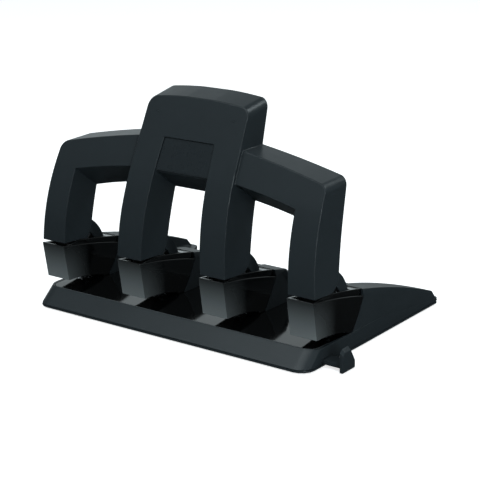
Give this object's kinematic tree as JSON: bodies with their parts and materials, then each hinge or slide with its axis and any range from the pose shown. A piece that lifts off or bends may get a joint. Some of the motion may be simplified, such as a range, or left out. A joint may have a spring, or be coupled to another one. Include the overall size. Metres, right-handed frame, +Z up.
{
  "type": "hole punch",
  "caption": "Desk punch for A4 paper: towers in a row on a flat black base, worked together by one upright lever handle, with a sliding paper stop and a chip tray.",
  "frame": {"origin": "on the surface it stands on, midway between the towers, under the line of the punch pins", "axes": "+X along the row of towers towards the paper stop, +Y away from the user, +Z up"},
  "size_m": [0.2835, 0.1973, 0.1834],
  "materials": {
    "matt_plastic": "fine matt texture",
    "panel_plastic": "smooth satin",
    "gloss_plastic": "high gloss",
    "steel": "zinc plated",
    "tool_steel": "ground",
    "rubber": "matt"
  },
  "bodies": {
    "base": {"base_housing": "matt_plastic", "floor_plate": "gloss_plastic", "base_rail": "steel", "guide_bracket": "steel", "rail_screw_1": "steel", "rail_screw_2": "steel", "rail_screw_3": "steel", "rail_screw_4": "steel", "shoe_1": "gloss_plastic", "shoe_2": "gloss_plastic", "shoe_3": "gloss_plastic", "shoe_4": "gloss_plastic", "tower_core_1": "gloss_plastic", "tower_core_2": "gloss_plastic", "tower_core_3": "gloss_plastic", "tower_core_4": "gloss_plastic", "punch_frame_1": "steel", "punch_frame_2": "steel", "punch_frame_3": "steel", "punch_frame_4": "steel", "die_1": "tool_steel", "die_2": "tool_steel", "die_3": "tool_steel", "die_4": "tool_steel", "pivot_pin_1": "tool_steel", "pivot_pin_2": "tool_steel", "pivot_pin_3": "tool_steel", "pivot_pin_4": "tool_steel", "return_spring_1": "steel", "return_spring_2": "steel", "return_spring_3": "steel", "return_spring_4": "steel"},
    "lever": {"handle_shell": "matt_plastic", "handle_back_cover": "matt_plastic", "front_panel": "panel_plastic", "cover_screw_1": "steel", "cover_screw_2": "steel", "lever_arm_1": "steel", "lever_arm_2": "steel", "lever_arm_3": "steel", "lever_arm_4": "steel", "heel_cover_1": "matt_plastic", "heel_cover_2": "matt_plastic", "heel_cover_3": "matt_plastic", "heel_cover_4": "matt_plastic", "arm_screw_1": "steel", "arm_screw_2": "steel", "arm_screw_3": "steel", "arm_screw_4": "steel"},
    "pin_1": {"punch_pin_1": "tool_steel"},
    "pin_2": {"punch_pin_2": "tool_steel"},
    "pin_3": {"punch_pin_3": "tool_steel"},
    "pin_4": {"punch_pin_4": "tool_steel"},
    "guide": {"paper_guide": "matt_plastic"},
    "tray": {"chip_tray": "matt_plastic", "rubber_strip": "rubber", "rubber_pad_1": "rubber", "rubber_pad_2": "rubber", "rubber_pad_3": "rubber", "rubber_pad_4": "rubber"}
  },
  "joints": [
    {"name": "lever_hinge", "type": "hinge", "parent": "base", "child": "lever", "pos_m": [0, -0.015, 0.0365], "axis": [-1, 0, 0], "range_deg": [0, 32], "stiffness_Nm_per_rad": 1.2, "springref_deg": -22.92},
    {"name": "pin_slide_1", "type": "slide", "parent": "base", "child": "pin_1", "axis": [0, 0, -1], "range_m": [0, 0.0097], "deforming": ["return_spring_1"]},
    {"name": "pin_slide_2", "type": "slide", "parent": "base", "child": "pin_2", "axis": [0, 0, -1], "range_m": [0, 0.0097], "deforming": ["return_spring_2"]},
    {"name": "pin_slide_3", "type": "slide", "parent": "base", "child": "pin_3", "axis": [0, 0, -1], "range_m": [0, 0.0097], "deforming": ["return_spring_3"]},
    {"name": "pin_slide_4", "type": "slide", "parent": "base", "child": "pin_4", "axis": [0, 0, -1], "range_m": [0, 0.0097], "deforming": ["return_spring_4"]},
    {"name": "guide_slide", "type": "slide", "parent": "base", "child": "guide", "axis": [1, 0, 0], "range_m": [-0.0135, 0.045]},
    {"name": "tray_release", "type": "slide", "parent": "base", "child": "tray", "axis": [0, 0, -1], "range_m": [0, 0.03]}
  ],
  "couplings": [
    {"joint": "pin_slide_1", "follows": "lever_hinge", "m_per_rad": 0.01719},
    {"joint": "pin_slide_2", "follows": "lever_hinge", "m_per_rad": 0.01719},
    {"joint": "pin_slide_3", "follows": "lever_hinge", "m_per_rad": 0.01719},
    {"joint": "pin_slide_4", "follows": "lever_hinge", "m_per_rad": 0.01719}
  ]
}
